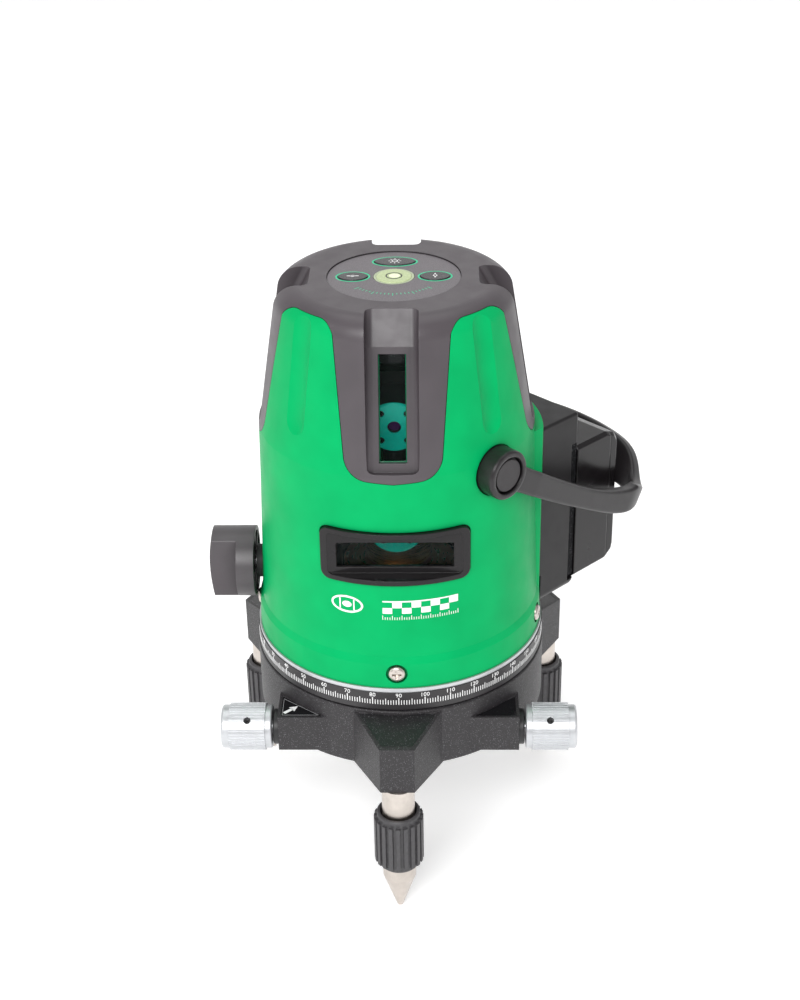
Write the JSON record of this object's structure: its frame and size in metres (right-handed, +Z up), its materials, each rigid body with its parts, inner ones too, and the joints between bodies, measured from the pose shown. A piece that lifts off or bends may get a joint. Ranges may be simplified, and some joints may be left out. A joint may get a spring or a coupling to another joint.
{
  "type": "laser level",
  "caption": "Self-levelling cross-line laser with a round barrel, carrying handle, clip-on battery, graduated rotating base and screw feet.",
  "frame": {"origin": "centre of the tripod thread's mouth, on the turret's vertical axis, in the flat underside of the base", "axes": "+Z up along the turret axis; -Y towards the front leg and the 90 degree mark; +X to the right seen from the front"},
  "size_m": [0.1581, 0.1608, 0.2175],
  "materials": {
    "black_cast": "cast, sandblasted and powder coated in black",
    "gloss_black": "polished black",
    "brass": "turned",
    "nickel_steel": "nickel plated, satin",
    "steel": "turned",
    "black_steel": "black oxide",
    "dark_grip": "ribbed, satin",
    "bronze_bush": "sintered",
    "bright_aluminium": "turned and knurled",
    "inner_aluminium": "die cast",
    "inner_plastic": "moulded",
    "dial_black": "satin with white printed scale",
    "green_shell": "satin moulded",
    "window_frame": "moulded, satin",
    "black_soft_plastic": "soft-touch moulded",
    "clear_glass": "polished",
    "panel_label": "grained film",
    "gloss_button": "polished",
    "circuit_board": "solder mask",
    "vial_plastic": "moulded acrylic",
    "vial_liquid": "clear liquid",
    "copper": "turned copper",
    "magnet_nickel": "nickel plated",
    "teal_anodised": "anodised",
    "dark_lens": "coated lens",
    "pack_plastic": "moulded",
    "cell_wrap": "shrink wrap",
    "handle_rubber": "overmoulded",
    "textured_cap": "fine grain"
  },
  "bodies": {
    "base": {"base_casting": "black_cast", "base_cover_plates": "gloss_black", "tripod_thread_insert": "brass", "leg_posts": "nickel_steel", "worm_bushes": "black_steel", "spindle": "steel", "spindle_screws": "steel", "spindle_retaining_ring": "steel"},
    "foot_front": {"foot_front": "nickel_steel"},
    "foot_left": {"foot_left": "nickel_steel"},
    "foot_right": {"foot_right": "nickel_steel"},
    "collar_front": {"foot_collar_front": "dark_grip"},
    "collar_left": {"foot_collar_left": "dark_grip"},
    "collar_right": {"foot_collar_right": "dark_grip"},
    "fine_screw": {"worm_shaft": "steel", "fine_knob_left": "bright_aluminium", "fine_knob_right": "bright_aluminium", "knob_grub_screws": "black_steel"},
    "worm_wheel": {"worm_wheel": "bronze_bush", "friction_washer": "inner_plastic"},
    "turret": {"turret_bearing": "bronze_bush", "turret_carrier": "inner_plastic", "graduated_ring": "dial_black", "trim_ring": "bright_aluminium", "barrel_shell": "green_shell", "barrel_screws": "nickel_steel", "top_cover": "black_soft_plastic", "window_glasses": "clear_glass", "horizontal_window_frame": "window_frame", "control_label": "panel_label", "control_board": "circuit_board", "vial_cup": "vial_plastic", "vial_fluid": "vial_liquid", "vial_lens": "vial_liquid", "chassis": "inner_aluminium", "damper_magnets": "magnet_nickel", "magnet_plate": "steel", "battery_housing": "black_soft_plastic", "battery_rail": "gloss_black", "battery_contacts": "brass", "handle_pivot_pins": "steel", "lock_bush": "inner_plastic"},
    "handle": {"handle_bail": "handle_rubber", "handle_hub_caps": "textured_cap"},
    "lock": {"lock_knob": "black_soft_plastic", "lock_shaft": "steel"},
    "gimbal": {"gimbal_ring": "steel"},
    "pendulum": {"pendulum_frame": "inner_aluminium", "pendulum_weight": "brass", "damper_disc": "copper", "vertical_laser_modules": "teal_anodised", "level_laser_module": "teal_anodised", "laser_lenses": "dark_lens", "laser_module_screws": "black_steel"},
    "battery": {"battery_pack_case": "pack_plastic", "battery_pack_cover": "pack_plastic", "battery_cells": "cell_wrap"},
    "button_left": {"button_left": "gloss_button"},
    "button_right": {"button_right": "gloss_button"},
    "button_rear": {"button_rear": "gloss_button"}
  },
  "joints": [
    {"name": "foot_front_travel", "type": "slide", "parent": "base", "child": "foot_front", "axis": [0, 0, -1], "range_m": [-0.006, 0.008]},
    {"name": "collar_front_turn", "type": "hinge", "parent": "foot_front", "child": "collar_front", "pos_m": [0, -0.0624, -0.0225], "axis": [0, 0, 1], "range_deg": [-1730, 2306]},
    {"name": "foot_right_travel", "type": "slide", "parent": "base", "child": "foot_right", "axis": [0, 0, -1], "range_m": [-0.006, 0.008]},
    {"name": "collar_right_turn", "type": "hinge", "parent": "foot_right", "child": "collar_right", "pos_m": [0.05404, 0.0312, -0.0225], "axis": [0, 0, 1], "range_deg": [-1730, 2306]},
    {"name": "foot_left_travel", "type": "slide", "parent": "base", "child": "foot_left", "axis": [0, 0, -1], "range_m": [-0.006, 0.008]},
    {"name": "collar_left_turn", "type": "hinge", "parent": "foot_left", "child": "collar_left", "pos_m": [-0.05404, 0.0312, -0.0225], "axis": [0, 0, 1], "range_deg": [-1730, 2306]},
    {"name": "fine_screw_turn", "type": "hinge", "parent": "base", "child": "fine_screw", "pos_m": [0, -0.04, 0.0083], "axis": [1, 0, 0], "continuous": true},
    {"name": "worm_wheel_turn", "type": "hinge", "parent": "base", "child": "worm_wheel", "pos_m": [0, 0, 0.01], "axis": [0, 0, 1], "continuous": true},
    {"name": "turret_turn", "type": "hinge", "parent": "worm_wheel", "child": "turret", "pos_m": [0, 0, 0.03], "axis": [0, 0, 1], "continuous": true},
    {"name": "handle_swing", "type": "hinge", "parent": "turret", "child": "handle", "pos_m": [0, 0, 0.108], "axis": [0.7071, -0.7071, 0], "range_deg": [0, 200]},
    {"name": "lock_turn", "type": "hinge", "parent": "turret", "child": "lock", "pos_m": [-0.05, 0, 0.0532], "axis": [1, 0, 0], "range_deg": [0, 90]},
    {"name": "gimbal_tilt", "type": "hinge", "parent": "turret", "child": "gimbal", "pos_m": [0, 0, 0.143], "axis": [1, 0, 0], "range_deg": [-3, 3]},
    {"name": "pendulum_tilt", "type": "hinge", "parent": "gimbal", "child": "pendulum", "pos_m": [0, 0, 0.143], "axis": [0, 1, 0], "range_deg": [-3, 3]},
    {"name": "battery_lift", "type": "slide", "parent": "turret", "child": "battery", "axis": [0, 0, 1], "range_m": [0, 0.009]},
    {"name": "button_left_press", "type": "slide", "parent": "turret", "child": "button_left", "axis": [0, 0, -1], "range_m": [0, 0.0008], "stiffness_N_per_m": 400, "springref_m": -0.001},
    {"name": "button_right_press", "type": "slide", "parent": "turret", "child": "button_right", "axis": [0, 0, -1], "range_m": [0, 0.0008], "stiffness_N_per_m": 400, "springref_m": -0.001},
    {"name": "button_rear_press", "type": "slide", "parent": "turret", "child": "button_rear", "axis": [0, 0, -1], "range_m": [0, 0.0008], "stiffness_N_per_m": 400, "springref_m": -0.001}
  ],
  "couplings": [
    {"joint": "collar_front_turn", "follows": "foot_front_travel", "rad_per_m": 5026.5},
    {"joint": "collar_right_turn", "follows": "foot_right_travel", "rad_per_m": 5026.5},
    {"joint": "collar_left_turn", "follows": "foot_left_travel", "rad_per_m": 5026.5},
    {"joint": "worm_wheel_turn", "follows": "fine_screw_turn", "ratio": -0.013333}
  ]
}
